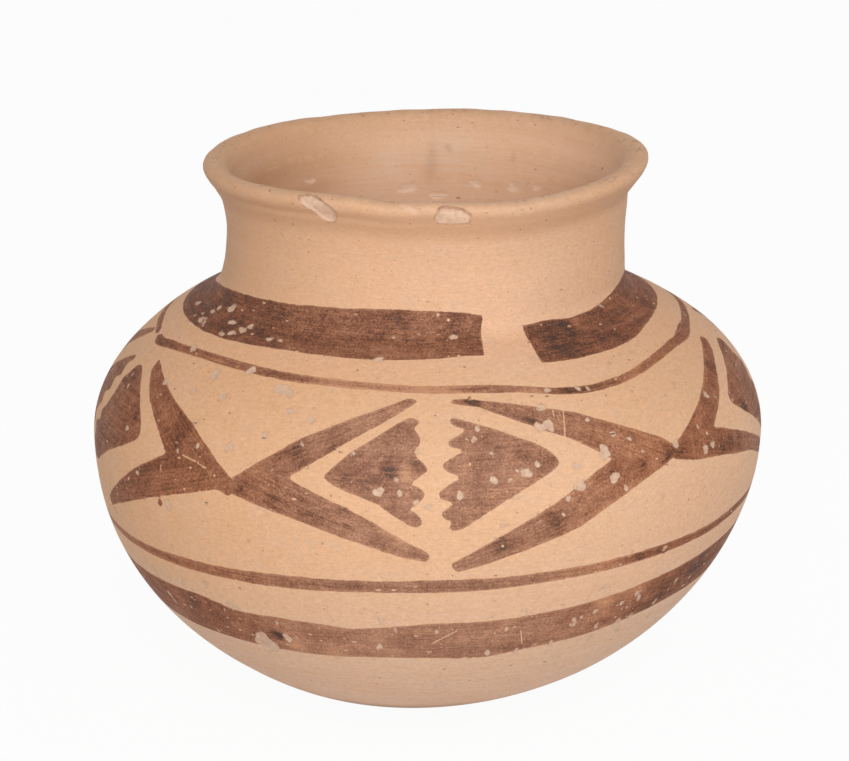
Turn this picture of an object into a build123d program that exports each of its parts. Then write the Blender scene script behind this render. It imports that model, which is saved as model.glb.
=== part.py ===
from build123d import *
from math import acos, asin, cos, degrees, radians, sin, sqrt
import os

# Coil-built pottery jar: a pressed base bowl, rings of clay lapped one over another, and a rolled rim.
# Millimetres, +Z up, origin at the centre of the resting face. Every piece is a ring about the Z axis.

# Outside form, from the base up
BASE_DIAMETER = 54.0         # resting face, before its edge is rounded
BASE_EDGE_RADIUS = 12.0      # rounding where the resting face turns into the wall
BODY_DIAMETER = 200.0        # widest ring
BELLY_HEIGHT = 80.5          # height of the widest ring
SHOULDER_RISE = 42.5         # from the widest ring up to the foot of the neck
WAIST_DIAMETER = 117.2       # narrowest ring of the neck
WAIST_RISE = 18.0            # from the foot of the neck up to its waist
NECK_SPREAD = 1.7            # how far the foot of the neck stands out from its waist
NECK_CORNER_RADIUS = 6.0     # rounding of the corner between shoulder and neck, inside and out
RIM_RISE = 17.8              # from the waist up to the middle of the lip roll
RIM_FLARE = 6.9              # how far the rim stands out from the waist
LIP_THICKNESS = 7.4          # thickness of the lip roll

# Wall
WALL = 6.0                   # at the widest ring and in the neck
FLOOR = 8.0                  # at the middle of the base

# Coils
BASE_BOWL_HEIGHT = 21.0      # height of the base bowl's outer edge
BODY_COILS = 5
SHOULDER_COILS = 5
NECK_COILS = 3
RIM_COIL_HEIGHT = 12.5       # from the rim coil's joint up to the crest of the lip
JOINT_LAP = 4.0              # how far a joint runs down the wall from its outside to its inside

# Radii and heights of the outer curve
base_r = BASE_DIAMETER / 2
body_r = BODY_DIAMETER / 2
waist_r = WAIST_DIAMETER / 2
foot_r = waist_r + NECK_SPREAD
rim_r = waist_r + RIM_FLARE
foot_z = BELLY_HEIGHT + SHOULDER_RISE
waist_z = foot_z + WAIST_RISE
rim_z = waist_z + RIM_RISE
crest_z = rim_z + LIP_THICKNESS / 2

# The body is two half ellipses that meet at the widest ring: one down to the base, one up to the neck
base_angle = -degrees(acos(base_r / body_r))
foot_angle = degrees(acos(foot_r / body_r))
lower_reach = BELLY_HEIGHT / sin(radians(-base_angle))
upper_reach = SHOULDER_RISE / sin(radians(foot_angle))

# The inner curve has the same form, one wall further in
inner_r = body_r - WALL
inner_waist_r = waist_r - WALL
inner_foot_r = foot_r - WALL
inner_rim_r = rim_r - LIP_THICKNESS
inner_lower_reach = BELLY_HEIGHT - FLOOR
inner_upper_reach = upper_reach - WALL
inner_foot_angle = degrees(acos(inner_foot_r / inner_r))
inner_foot_z = BELLY_HEIGHT + inner_upper_reach * sin(radians(inner_foot_angle))

belly_centre = (0, BELLY_HEIGHT)
outer_waist = (waist_r, waist_z)
outer_foot = (foot_r, foot_z)
outer_rim = (rim_r, rim_z)
lip_crest = (rim_r - LIP_THICKNESS / 2, crest_z)
inner_rim = (inner_rim_r, rim_z)
inner_waist = (inner_waist_r, waist_z)
inner_foot = (inner_foot_r, inner_foot_z)

# Half section of the whole jar, floor, wall and lip, drawn in X and Z
with BuildSketch(Plane.XZ) as jar_section:
    with BuildLine():
        Polyline((0, FLOOR), (0, 0), (base_r, 0))
        EllipticalCenterArc(belly_centre, body_r, lower_reach, base_angle, arc_size=-base_angle)
        EllipticalCenterArc(belly_centre, body_r, upper_reach, 0, arc_size=foot_angle)
        TangentArc(outer_waist, outer_foot, tangent=(0, -1))
        TangentArc(outer_waist, outer_rim, tangent=(0, 1))
        ThreePointArc(outer_rim, lip_crest, inner_rim)
        TangentArc(inner_waist, inner_rim, tangent=(0, 1))
        TangentArc(inner_waist, inner_foot, tangent=(0, -1))
        EllipticalCenterArc(belly_centre, inner_r, inner_upper_reach, 0, arc_size=inner_foot_angle)
        EllipticalCenterArc(belly_centre, inner_r, inner_lower_reach, -90, arc_size=90)
    make_face()
    for corner in (outer_foot, inner_foot):
        fillet(jar_section.vertices().sort_by_distance(corner)[0], NECK_CORNER_RADIUS)
    fillet(jar_section.vertices().sort_by_distance((base_r, 0))[0], BASE_EDGE_RADIUS)


def wall_point(angle, radius, lower, upper):
    """Point of the body's outer or inner curve, at an angle above or below the widest ring."""
    reach = upper if angle > 0 else lower
    return Vector(radius * cos(radians(angle)), BELLY_HEIGHT + reach * sin(radians(angle)))


def body_joint(angle):
    """Ends of the lapped joint at an angle of the body: outside of the wall, then inside and lower."""
    lap_angle = degrees(JOINT_LAP / body_r)
    outside = wall_point(angle, body_r, lower_reach, upper_reach)
    inside = wall_point(angle - lap_angle, inner_r, inner_lower_reach, inner_upper_reach)
    return past_the_wall(outside, inside, WALL)


def neck_joint(height):
    """Ends of the lapped joint at a height of the neck."""
    outside = Vector(waist_r, height)
    inside = Vector(inner_waist_r, height - JOINT_LAP)
    return past_the_wall(outside, inside, WALL + RIM_FLARE + NECK_SPREAD)


def past_the_wall(outside, inside, margin):
    """Carries a joint line on past both faces of the wall, so that it divides the wall cleanly."""
    across = (outside - inside).normalized() * margin
    return outside + across, inside - across


def clay_ring(label, outline):
    """Turns the stretch of the jar's section inside an outline into one ring and writes it."""
    with BuildPart() as ring:
        with BuildSketch(Plane.XZ):
            add(jar_section.sketch_local)
            with BuildLine():
                Polyline(*outline, close=True)
            make_face(mode=Mode.INTERSECT)
        revolve(axis=Axis.Z)
    ring.part.label = label
    export_step(ring.part, f"parts/{label}.step")


# Joints from the base bowl up: across the body, across the shoulder, across the neck, and over the lip
bowl_angle = degrees(asin((BASE_BOWL_HEIGHT - BELLY_HEIGHT) / lower_reach))
body_angles = [bowl_angle * (1 - coil / BODY_COILS) for coil in range(BODY_COILS + 1)]
shoulder_angles = [foot_angle * coil / SHOULDER_COILS for coil in range(1, SHOULDER_COILS + 1)]
rim_joint_z = crest_z - RIM_COIL_HEIGHT
neck_step = (rim_joint_z - foot_z) / NECK_COILS
neck_heights = [foot_z + neck_step * coil for coil in range(1, NECK_COILS + 1)]
above_lip = (Vector(rim_r + WALL, crest_z + WALL), Vector(inner_waist_r - WALL, crest_z + WALL))
joints = [body_joint(angle) for angle in body_angles + shoulder_angles]
joints += [neck_joint(height) for height in neck_heights]
joints.append(above_lip)

names = [f"body_coil_{coil}" for coil in range(1, BODY_COILS + 1)]
names += [f"shoulder_coil_{coil}" for coil in range(1, SHOULDER_COILS + 1)]
names += [f"neck_coil_{coil}" for coil in range(1, NECK_COILS + 1)]
names.append("rim_coil")

os.makedirs("parts", exist_ok=True)

# Base bowl: all of the section below the first joint, out from the axis
bowl_outside, bowl_inside = joints[0]
bowl_outline = [
    (0, -WALL),
    (bowl_outside.X, -WALL),
    bowl_outside,
    bowl_inside,
    (0, bowl_inside.Y),
]
clay_ring("base_bowl", bowl_outline)

# Coils: each lies between the joint below it and the joint above it
for name, (low_outside, low_inside), (high_outside, high_inside) in zip(names, joints, joints[1:]):
    clay_ring(name, [low_outside, high_outside, high_inside, low_inside])
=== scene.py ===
import functools
import math

import bpy
import numpy as np
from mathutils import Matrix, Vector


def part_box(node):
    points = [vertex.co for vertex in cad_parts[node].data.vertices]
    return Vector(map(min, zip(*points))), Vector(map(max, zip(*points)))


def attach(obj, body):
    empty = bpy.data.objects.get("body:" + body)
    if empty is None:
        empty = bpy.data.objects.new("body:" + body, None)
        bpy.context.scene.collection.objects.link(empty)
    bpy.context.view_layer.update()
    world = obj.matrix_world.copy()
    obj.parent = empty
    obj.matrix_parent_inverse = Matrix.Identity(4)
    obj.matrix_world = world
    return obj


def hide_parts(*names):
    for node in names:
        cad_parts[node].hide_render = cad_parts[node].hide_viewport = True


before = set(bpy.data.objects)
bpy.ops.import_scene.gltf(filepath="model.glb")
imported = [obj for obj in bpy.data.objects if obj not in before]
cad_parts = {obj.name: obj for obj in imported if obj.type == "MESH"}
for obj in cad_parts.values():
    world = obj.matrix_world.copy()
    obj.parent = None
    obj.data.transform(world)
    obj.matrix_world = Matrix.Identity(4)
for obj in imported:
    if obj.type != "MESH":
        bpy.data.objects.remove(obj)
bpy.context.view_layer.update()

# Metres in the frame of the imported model: +Z up, floor at 0, and the photographed side faces -Y.
# Painted outlines and damage are given as an angle in degrees from the front, positive to the right,
# and a height in millimetres, because that is how a potter would lay them out on the wall.
MM = 0.001

# Form of the jar, from the frame where it shows there
BELLY_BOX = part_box("body_coil_5")
RIM_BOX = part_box("rim_coil")
BODY_R = BELLY_BOX[1].x
BELLY_Z = BELLY_BOX[1].z
RIM_R = RIM_BOX[1].x
CREST_Z = RIM_BOX[1].z
BASE_R = 27.0 * MM
FOOT_R = 60.3 * MM          # foot of the neck
FOOT_Z = 123.0 * MM
WAIST_R = 58.6 * MM
WAIST_Z = 141.0 * MM
LIP_R = 3.7 * MM
LIP_DROP = 2.2 * MM         # from the crest down to the lip's outer edge
LIP_ROLL_IN = 5.2 * MM      # how far the lip rolls in from its crest
LIP_INNER_R = RIM_R - LIP_R - LIP_ROLL_IN
LIP_INNER_Z = CREST_Z - LIP_R
WALL = 6.0 * MM
FLOOR = 8.0 * MM
FOOT_SOFTNESS = 3.2 * MM
LIP_SOFTNESS = 2.4 * MM
LIP_EDGE_SOFTNESS = 2.0 * MM

# Coils and their lapped joints
BASE_BOWL_Z = 21.0 * MM
RIM_COIL_HEIGHT = 12.5 * MM
JOINT_LAP = 4.0 * MM
BODY_COILS = 5
SHOULDER_COILS = 5
NECK_COILS = 3

# Fineness of the modelled surface
STEP = 0.75 * MM            # up the outside and inside the neck
RIM_STEP = 0.4 * MM         # over the lip, where it is chipped
HIDDEN_STEP = 2.0 * MM      # inside the body
RIM_ZONE = 13.0 * MM        # how far the fine steps reach on either side of the crest
NECK_ZONE = 46.0 * MM       # how far down the inside the neck reaches
SEGMENTS = 720
JOINT_STEPS = 3
MERGE_GAP = 0.001 * MM      # points closer than this are one
SMOOTH_ANGLE = math.radians(40)
POINTS_AT_ONCE = 20000      # as many points are looked up together

# How corners of the section are rounded: the step they are drawn in, then, in times their softness,
# how far round a point they are averaged and how far along the wall that shows
SOFTEN_STEP = 0.2 * MM
AVERAGE_REACH = 4.0
CORNER_REACH = 2.3


# The wall's section

def ellipse_stretch(radius, reach, start, end, points=400):
    """Part of an ellipse centred on the axis at the widest ring, between two angles in radians."""
    turn = np.linspace(start, end, points)
    return np.column_stack((radius * np.cos(turn), BELLY_Z + reach * np.sin(turn)))


def arc_from_waist(waist_r, end_r, end_z, points=200):
    """Arc that leaves the neck's waist upright and ends at a radius and height."""
    rise = end_z - WAIST_Z
    spread = end_r - waist_r
    bend = (rise * rise + spread * spread) / (2 * spread)
    climb = np.linspace(0.0, rise, points)
    return np.column_stack((waist_r + bend - np.sqrt(bend * bend - climb * climb), WAIST_Z + climb))


def lip_roll(points=80):
    """Roll over the lip, from its outside to its inside, where it is slower."""
    turn = np.linspace(0.0, math.pi, points)
    outside = turn < math.pi / 2
    reach = np.where(outside, LIP_R, LIP_ROLL_IN)
    drop = np.where(outside, LIP_DROP, LIP_R)
    return np.column_stack((RIM_R - LIP_R + reach * np.cos(turn), CREST_Z - drop * (1 - np.sin(turn))))


def lengths_along(curve):
    """Distance of each point along a curve."""
    steps = np.hypot(*np.diff(curve, axis=0).T)
    return np.concatenate(([0.0], np.cumsum(steps)))


def points_at(curve, stations):
    """Points of a curve at distances along it."""
    along = lengths_along(curve)
    return np.column_stack([np.interp(stations, along, curve[:, axis]) for axis in (0, 1)])


def evenly(curve, step):
    """The same curve with points at even steps."""
    length = lengths_along(curve)[-1]
    return points_at(curve, np.linspace(0.0, length, int(length / step) + 1))


def stepped(curve):
    """The same curve with its points closest over the lip and widest where no one looks."""
    along = lengths_along(curve)
    crest = along[np.argmax(curve[:, 1])]
    stations = [0.0]
    while stations[-1] < along[-1]:
        past_crest = stations[-1] - crest
        step = STEP if past_crest < NECK_ZONE else HIDDEN_STEP
        if abs(past_crest) < RIM_ZONE:
            step = RIM_STEP
        stations.append(stations[-1] + step)
    stations[-1] = along[-1]
    return points_at(curve, stations)


def bell(offset, width):
    """One where the offset is nothing, fading out to both sides of it."""
    return np.exp(-(offset / width) ** 2)


def soften(curve, corners):
    """Rounds corners of a curve, as wet fingers do: each corner comes with how soft it is."""
    curve = evenly(curve, SOFTEN_STEP)
    for corner, softness in corners:
        along = lengths_along(curve)
        reach = int(AVERAGE_REACH * softness / SOFTEN_STEP)
        offsets = np.arange(-reach, reach + 1) * SOFTEN_STEP
        weights = np.exp(-0.5 * (offsets / softness) ** 2)
        weights /= weights.sum()
        padded = np.pad(curve, ((reach, reach), (0, 0)), mode="edge")
        smooth = np.column_stack([np.convolve(padded[:, axis], weights, "valid") for axis in (0, 1)])
        nearest = np.argmin(np.hypot(*(curve - corner).T))
        share = bell(along - along[nearest], CORNER_REACH * softness)[:, None]
        curve = curve * (1 - share) + smooth * share
    return curve


lower_reach = BELLY_Z / math.sqrt(1 - (BASE_R / BODY_R) ** 2)
upper_reach = (FOOT_Z - BELLY_Z) / math.sqrt(1 - (FOOT_R / BODY_R) ** 2)
base_angle = -math.acos(BASE_R / BODY_R)
foot_angle = math.acos(FOOT_R / BODY_R)
inner_r = BODY_R - WALL
inner_lower_reach = BELLY_Z - FLOOR
inner_upper_reach = upper_reach - WALL
inner_foot_r = FOOT_R - WALL
inner_foot_angle = math.acos(inner_foot_r / inner_r)
inner_foot_z = BELLY_Z + inner_upper_reach * math.sin(inner_foot_angle)

wall_curve = np.vstack((
    [(0.0, 0.0)],
    ellipse_stretch(BODY_R, lower_reach, base_angle, 0.0),
    ellipse_stretch(BODY_R, upper_reach, 0.0, foot_angle)[1:],
    arc_from_waist(WAIST_R, FOOT_R, FOOT_Z)[::-1][1:],
    arc_from_waist(WAIST_R, RIM_R, CREST_Z - LIP_DROP)[1:],
    lip_roll()[1:],
    arc_from_waist(WAIST_R - WALL, LIP_INNER_R, LIP_INNER_Z)[::-1][1:],
    arc_from_waist(WAIST_R - WALL, inner_foot_r, inner_foot_z)[1:],
    ellipse_stretch(inner_r, inner_upper_reach, inner_foot_angle, 0.0)[1:],
    ellipse_stretch(inner_r, inner_lower_reach, 0.0, -math.pi / 2)[1:],
))
wall_curve[-1, 0] = 0.0
wall_corners = [
    ((BASE_R, 0.0), FOOT_SOFTNESS),
    ((FOOT_R, FOOT_Z), FOOT_SOFTNESS),
    ((inner_foot_r, inner_foot_z), FOOT_SOFTNESS),
    ((RIM_R, CREST_Z - LIP_DROP), LIP_EDGE_SOFTNESS),
    ((LIP_INNER_R, LIP_INNER_Z), LIP_SOFTNESS),
]
wall_curve = stepped(soften(wall_curve, wall_corners))
wall_curve[0] = (0.0, 0.0)
wall_curve[-1, 0] = 0.0
wall_along = lengths_along(wall_curve) / MM
crest_index = int(np.argmax(wall_curve[:, 1]))
outer_heights = wall_curve[:crest_index + 1, 1] / MM
outer_along = wall_along[:crest_index + 1]
inner_heights = wall_curve[crest_index:, 1][::-1] / MM
inner_along = wall_along[crest_index:][::-1]


def along_at(height):
    """Distance along the wall's section, in millimetres, to a height in millimetres on the outside."""
    return np.interp(height, outer_heights, outer_along)


def along_inside_at(height):
    """Distance along the wall's section, in millimetres, to a height in millimetres on the inside."""
    return np.interp(height, inner_heights, inner_along)


# Coils: where each joint leaves the outside and the inside of the wall

def nearest_station(point, outside):
    """Index of the wall curve's point nearest to a point, on the outer or the inner side."""
    gaps = np.hypot(*(wall_curve - point).T)
    if outside:
        gaps[crest_index:] = np.inf
    else:
        gaps[:crest_index] = np.inf
    return int(np.argmin(gaps))


def body_joint(angle):
    """Stations of a joint across the body at an angle above or below the widest ring."""
    inside = angle - JOINT_LAP / BODY_R
    reach = upper_reach if angle > 0 else lower_reach
    inner_reach = inner_upper_reach if inside > 0 else inner_lower_reach
    outer_point = (BODY_R * math.cos(angle), BELLY_Z + reach * math.sin(angle))
    inner_point = (inner_r * math.cos(inside), BELLY_Z + inner_reach * math.sin(inside))
    return nearest_station(outer_point, True), nearest_station(inner_point, False)


def neck_joint(height):
    """Stations of a joint across the neck."""
    outer_point = (WAIST_R, height)
    inner_point = (WAIST_R - WALL, height - JOINT_LAP)
    return nearest_station(outer_point, True), nearest_station(inner_point, False)


bowl_angle = math.asin((BASE_BOWL_Z - BELLY_Z) / lower_reach)
rim_joint_z = CREST_Z - RIM_COIL_HEIGHT
joints = [body_joint(bowl_angle * (1 - coil / BODY_COILS)) for coil in range(BODY_COILS + 1)]
joints += [body_joint(foot_angle * coil / SHOULDER_COILS) for coil in range(1, SHOULDER_COILS + 1)]
joints += [
    neck_joint(FOOT_Z + (rim_joint_z - FOOT_Z) * coil / NECK_COILS) for coil in range(1, NECK_COILS + 1)
]
coil_names = [f"body_coil_{coil}" for coil in range(1, BODY_COILS + 1)]
coil_names += [f"shoulder_coil_{coil}" for coil in range(1, SHOULDER_COILS + 1)]
coil_names += [f"neck_coil_{coil}" for coil in range(1, NECK_COILS + 1)]


def joint_line(start, end):
    """Points of a joint between two stations, without its ends."""
    shares = np.linspace(0.0, 1.0, JOINT_STEPS + 2)[1:-1, None]
    return wall_curve[start] * (1 - shares) + wall_curve[end] * shares


def coil_loop(below, above):
    """Closed section of the coil between two joints: up the outside, across, down the inside, across."""
    return np.vstack((
        wall_curve[below[0]:above[0] + 1],
        joint_line(above[0], above[1]),
        wall_curve[above[1]:below[1] + 1],
        joint_line(below[1], below[0]),
    ))


sections = {"base_bowl": np.vstack((
    wall_curve[:joints[0][0] + 1],
    joint_line(*joints[0]),
    wall_curve[joints[0][1]:],
))}
for coil_name, below, above in zip(coil_names, joints, joints[1:]):
    sections[coil_name] = coil_loop(below, above)
sections["rim_coil"] = np.vstack((
    wall_curve[joints[-1][0]:joints[-1][1] + 1],
    joint_line(joints[-1][1], joints[-1][0]),
))


def turn_ring(node, section):
    """Lays a ring of points out to a section and turns it about the axis into one closed clay ring."""
    bpy.ops.object.select_all(action="DESELECT")
    bpy.ops.mesh.primitive_circle_add(vertices=len(section), radius=BODY_R)
    ring = bpy.context.object
    ring.name = f"{node}_finished"
    places = np.column_stack((section[:, 0], np.zeros(len(section)), section[:, 1]))
    ring.data.vertices.foreach_set("co", places.ravel())
    ring.data.update()
    bpy.ops.object.modifier_add(type="SCREW")
    turning = ring.modifiers[-1]
    turning.axis = "Z"
    turning.angle = 2 * math.pi
    turning.steps = SEGMENTS
    turning.render_steps = SEGMENTS
    turning.use_merge_vertices = True
    turning.merge_threshold = MERGE_GAP
    bpy.ops.object.modifier_apply(modifier=turning.name)
    bpy.ops.object.mode_set(mode="EDIT")
    bpy.ops.mesh.select_all(action="SELECT")
    bpy.ops.mesh.remove_doubles(threshold=MERGE_GAP)
    bpy.ops.mesh.delete_loose(use_verts=True, use_edges=True, use_faces=False)
    bpy.ops.mesh.select_all(action="SELECT")
    bpy.ops.mesh.normals_make_consistent(inside=False)
    bpy.ops.object.mode_set(mode="OBJECT")
    return ring


# Hand-made form

# Sideways drift of the middle of the jar, as (height, shift to the right), in millimetres
DRIFT = [
    (0, -4.8), (6, -3.5), (15, -2.3), (38, -1.5), (55, -0.8), (70, 0.0), (85, 0.3), (100, 0.7), (108, 0.8),
    (113, 0.3), (118, -0.3), (123, -1.1), (127, -0.9), (132, -0.4), (142, 0.0), (165, 0.0),
]
# Rise and fall of the rim round the jar, as (angle, lift), in degrees and millimetres
RIM_LIFT = [
    (-180, 0.55), (-160, 0.05), (-138, 0.1), (-116, -0.2), (-98, -0.6), (-80, -0.6), (-59, -0.8),
    (-46, -0.4), (-35, 0.0), (-24, 0.1), (-16, -0.2), (-8, -0.7), (2, -0.75), (18, -1.35), (28, -1.5),
    (38, -0.9), (52, -0.1), (68, 0.7), (84, 1.6), (98, 1.9), (114, 1.4), (140, 1.0), (160, 0.9),
]
RIM_LIFT_FROM = 128.0       # height on the neck where the rim's rise and fall begins
RIM_LIFT_TO = 157.0
# Widening of the mouth round the jar, as (angle, added radius), in degrees and millimetres
RIM_SPREAD = [(-180, 0.5), (-135, 0.7), (-90, 0.6), (-45, 0.4), (0, 0.4), (45, 0.4), (90, 0.5), (135, 0.5)]
RIM_SPREAD_FROM = 150.0     # height where the mouth begins to widen
FOOT_SPREAD = 0.9           # how much the wall has slumped outwards over the floor
FOOT_SPREAD_HEIGHT = 8.0
FOOT_SPREAD_FROM = 10.0     # radius where the slump begins
FOOT_SPREAD_TO = 27.0
# Waves round the jar, as (number, size in millimetres, phase in radians)
RIM_WAVES = [(13, 0.06, 1.0), (23, 0.05, 2.2), (37, 0.04, 0.5)]
BODY_WAVES = [(2, 0.3, 0.6), (3, 0.25, 2.1), (5, 0.12, 4.0)]
CREASE_WAVES = [(2, 0.5, 0.7), (5, 0.3, 0.0)]
BODY_WINDING = 0.02         # how the body's waves turn with height, in radians per millimetre
BODY_WAVES_FROM = 20.0      # radius where the body's waves begin
BODY_WAVES_TO = 60.0
THROAT_Z = 152.0            # hollow under the flared lip
THROAT_WIDTH = 3.6
# Depth of that hollow round the jar, as (angle, depth), in degrees and millimetres
THROAT_DEPTH = [(-180, 0.4), (-95, 0.4), (-60, 0.25), (0, 0.15), (50, 0.3), (92, 1.1), (140, 0.6)]
CREASE_Z = 156.6            # crease under the folded lip, deepest on the left
CREASE_WIDTH = 1.2
CREASE_DEPTH = 0.4
CREASE_ANGLE = -42.0
CREASE_SPREAD = 38.0
CREASE_LEAST = 0.25         # share of its depth that it keeps all round


def smoothstep(value, low, high):
    """Share of the way from a low to a high limit, eased at both ends."""
    share = np.clip((value - low) / (high - low), 0.0, 1.0)
    return share * share * (3 - 2 * share)


def waves(listed, angle, winding=0.0):
    """Sum of waves round the jar, at an angle in radians."""
    return sum(size * np.sin(number * angle + phase + winding) for number, size, phase in listed)


def turned(angle):
    """Angle in degrees brought between -180 and 180."""
    return (angle + 180.0) % 360.0 - 180.0


def round_the_jar(points, angle):
    """Smooth closed curve through (angle, value) points, read at other angles in degrees."""
    angles, values = np.array(points, float).T
    angles = np.concatenate((angles[-2:] - 360, angles, angles[:3] + 360))
    values = np.concatenate((values[-2:], values, values[:3]))
    spot = np.clip(np.searchsorted(angles, angle, side="right") - 1, 1, len(angles) - 3)
    span = angles[spot + 1] - angles[spot]
    share = (angle - angles[spot]) / span
    start_slope = (values[spot + 1] - values[spot - 1]) / (angles[spot + 1] - angles[spot - 1]) * span
    end_slope = (values[spot + 2] - values[spot]) / (angles[spot + 2] - angles[spot]) * span
    square = share ** 2
    cube = share ** 3
    return ((2 * cube - 3 * square + 1) * values[spot] + (cube - 2 * square + share) * start_slope
            + (3 * square - 2 * cube) * values[spot + 1] + (cube - square) * end_slope)


def shape_by_hand(places, outside):
    """Moves ideal points to where uneven hands left them."""
    x, y, z = places.T / MM
    angle = np.arctan2(x, -y)
    degrees = np.degrees(angle)
    radius = np.hypot(x, y)
    swell = waves(BODY_WAVES, angle, BODY_WINDING * z)
    radius = radius + swell * smoothstep(radius, BODY_WAVES_FROM, BODY_WAVES_TO)
    crease = CREASE_DEPTH * bell(z - CREASE_Z - waves(CREASE_WAVES, angle), CREASE_WIDTH)
    crease_share = CREASE_LEAST + (1 - CREASE_LEAST) * bell(turned(degrees - CREASE_ANGLE), CREASE_SPREAD)
    throat = round_the_jar(THROAT_DEPTH, degrees) * bell(z - THROAT_Z, THROAT_WIDTH)
    radius = radius - (crease * crease_share + throat) * outside
    slump = FOOT_SPREAD * bell(z, FOOT_SPREAD_HEIGHT) * outside
    radius = radius + slump * smoothstep(radius, FOOT_SPREAD_FROM, FOOT_SPREAD_TO)
    radius = radius + round_the_jar(RIM_SPREAD, degrees) * smoothstep(z, RIM_SPREAD_FROM, RIM_LIFT_TO)
    lift = round_the_jar(RIM_LIFT, degrees) + waves(RIM_WAVES, angle)
    heights, shifts = np.array(DRIFT, float).T
    moved_x = radius * np.sin(angle) + np.interp(z, heights, shifts)
    moved_y = -radius * np.cos(angle)
    moved_z = z + smoothstep(z, RIM_LIFT_FROM, RIM_LIFT_TO) * lift
    return np.column_stack((moved_x, moved_y, moved_z)) * MM


# Painted design

PAINT_R = 95.0              # millimetres of wall per radian of angle, in the painted zone
BRUSH_ROUNDING = 1.1        # how far a brush rounds off a corner, in millimetres
CORNER_SHARE = 0.35         # the most of an edge that a rounded corner takes

# One half of a motif, from the crossing (share 0) to the middle of the gap (share 1), as (share, height)
DART = [
    (0.87, 111.0), (0.57, 106.2), (0.33, 100.7), (0.15, 93.9), (-0.01, 87.2), (-0.01, 85.4), (0.04, 84.2),
    (0.4, 79.3), (0.875, 70.7), (0.98, 69.3), (1.0, 71.7), (0.67, 82.9), (0.31, 90.9), (0.59, 101.3),
    (0.88, 109.2), (0.925, 110.5),
]
SAW = [
    (0.48, 92.1), (0.59, 98.0), (0.78, 104.2), (0.875, 106.9), (0.94, 106.1), (0.9, 104.8), (0.935, 103.0),
    (0.94, 100.7), (0.92, 98.1), (0.99, 94.8), (0.9, 91.0), (0.965, 88.5), (0.91, 84.4), (0.955, 81.4),
    (0.93, 80.0), (0.89, 80.4), (0.83, 82.6), (0.75, 85.8), (0.54, 90.1),
]

# Halves that the photograph shows with their own outline, as (angle, height)
FRONT_LEFT_SAW = [
    (-17.2, 92.2), (-13.5, 98.2), (-7.0, 104.4), (-3.4, 107.2), (-1.3, 106.1), (-2.9, 104.7), (-1.6, 102.9),
    (-1.4, 101.0), (-2.3, 100.0), (-2.2, 98.1), (-0.6, 96.4), (0.2, 94.8), (-1.4, 93.2), (-3.0, 91.4),
    (-1.5, 90.7), (-0.3, 89.2), (-0.6, 87.7), (-1.8, 85.9), (-2.8, 84.8), (-1.5, 83.7), (-0.6, 81.2),
    (-1.2, 80.0), (-2.6, 80.1), (-5.3, 83.0), (-7.9, 86.0), (-15.3, 90.2),
]
FRONT_RIGHT_DART = [
    (4.1, 110.0), (4.7, 110.8), (6.5, 110.8), (9.5, 110.5), (15.6, 109.4), (27.1, 106.1), (38.2, 99.6),
    (42.7, 96.5), (45.9, 93.2), (45.9, 91.4), (43.2, 89.7), (37.6, 86.7), (31.2, 82.3), (24.6, 76.5),
    (13.5, 70.5), (5.0, 66.2), (3.8, 68.8), (12.0, 76.8), (28.2, 91.4), (31.8, 93.9), (25.5, 99.8),
    (17.9, 104.4), (13.6, 106.7), (9.4, 109.0), (4.9, 109.7),
]
FRONT_RIGHT_SAW = [
    (3.6, 106.5), (4.7, 106.9), (10.3, 104.7), (18.8, 99.9), (20.9, 97.7), (22.2, 94.8), (20.5, 93.0),
    (12.8, 86.8), (6.3, 80.0), (5.4, 78.9), (3.8, 78.6), (3.3, 79.4), (4.0, 81.3), (2.3, 82.6), (2.3, 84.2),
    (4.3, 86.6), (2.0, 87.6), (1.6, 89.2), (3.3, 91.4), (5.4, 93.0), (2.6, 94.9), (2.2, 96.4), (3.9, 98.0),
    (6.0, 99.6), (3.5, 100.4), (3.2, 101.7), (4.8, 102.8), (6.5, 104.3), (4.7, 104.8), (3.8, 105.7),
]
LEFT_DART = [
    (-66.3, 109.2), (-55.0, 104.6), (-44.7, 99.7), (-39.0, 94.8), (-32.8, 88.2), (-32.4, 85.4),
    (-33.0, 83.5), (-34.3, 83.9), (-35.2, 84.9), (-48.5, 78.0), (-68.3, 65.4), (-69.1, 68.1), (-61.5, 76.8),
    (-55.6, 83.4), (-47.9, 90.4), (-52.8, 96.1), (-57.5, 100.0), (-58.5, 100.4), (-59.4, 101.3),
    (-65.5, 106.3),
]
LEFT_SAW = [
    (-70.4, 105.9), (-72.6, 105.2), (-73.2, 102.6), (-74.4, 101.2), (-73.6, 97.7), (-74.6, 92.9),
    (-77.0, 90.2), (-75.8, 88.0), (-79.4, 86.0), (-78.6, 83.0), (-80.4, 80.0), (-79.4, 75.0), (-75.3, 76.0),
    (-72.1, 78.6), (-66.0, 83.7), (-60.6, 87.6), (-57.2, 90.4), (-56.4, 92.4), (-57.9, 95.6),
    (-62.0, 100.0), (-67.6, 104.6),
]
FAR_LEFT_SAW = [
    (-77.2, 106.3), (-80.9, 104.2), (-86.0, 100.6), (-92.5, 94.6), (-94.0, 92.0), (-91.5, 89.4),
    (-87.0, 83.6), (-84.4, 79.0), (-82.8, 79.4), (-83.6, 82.0), (-81.4, 84.6), (-82.4, 87.6), (-79.0, 91.5),
    (-80.4, 93.8), (-77.2, 96.2), (-79.1, 98.7), (-76.6, 100.8), (-78.0, 103.5), (-76.4, 105.2),
]
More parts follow.
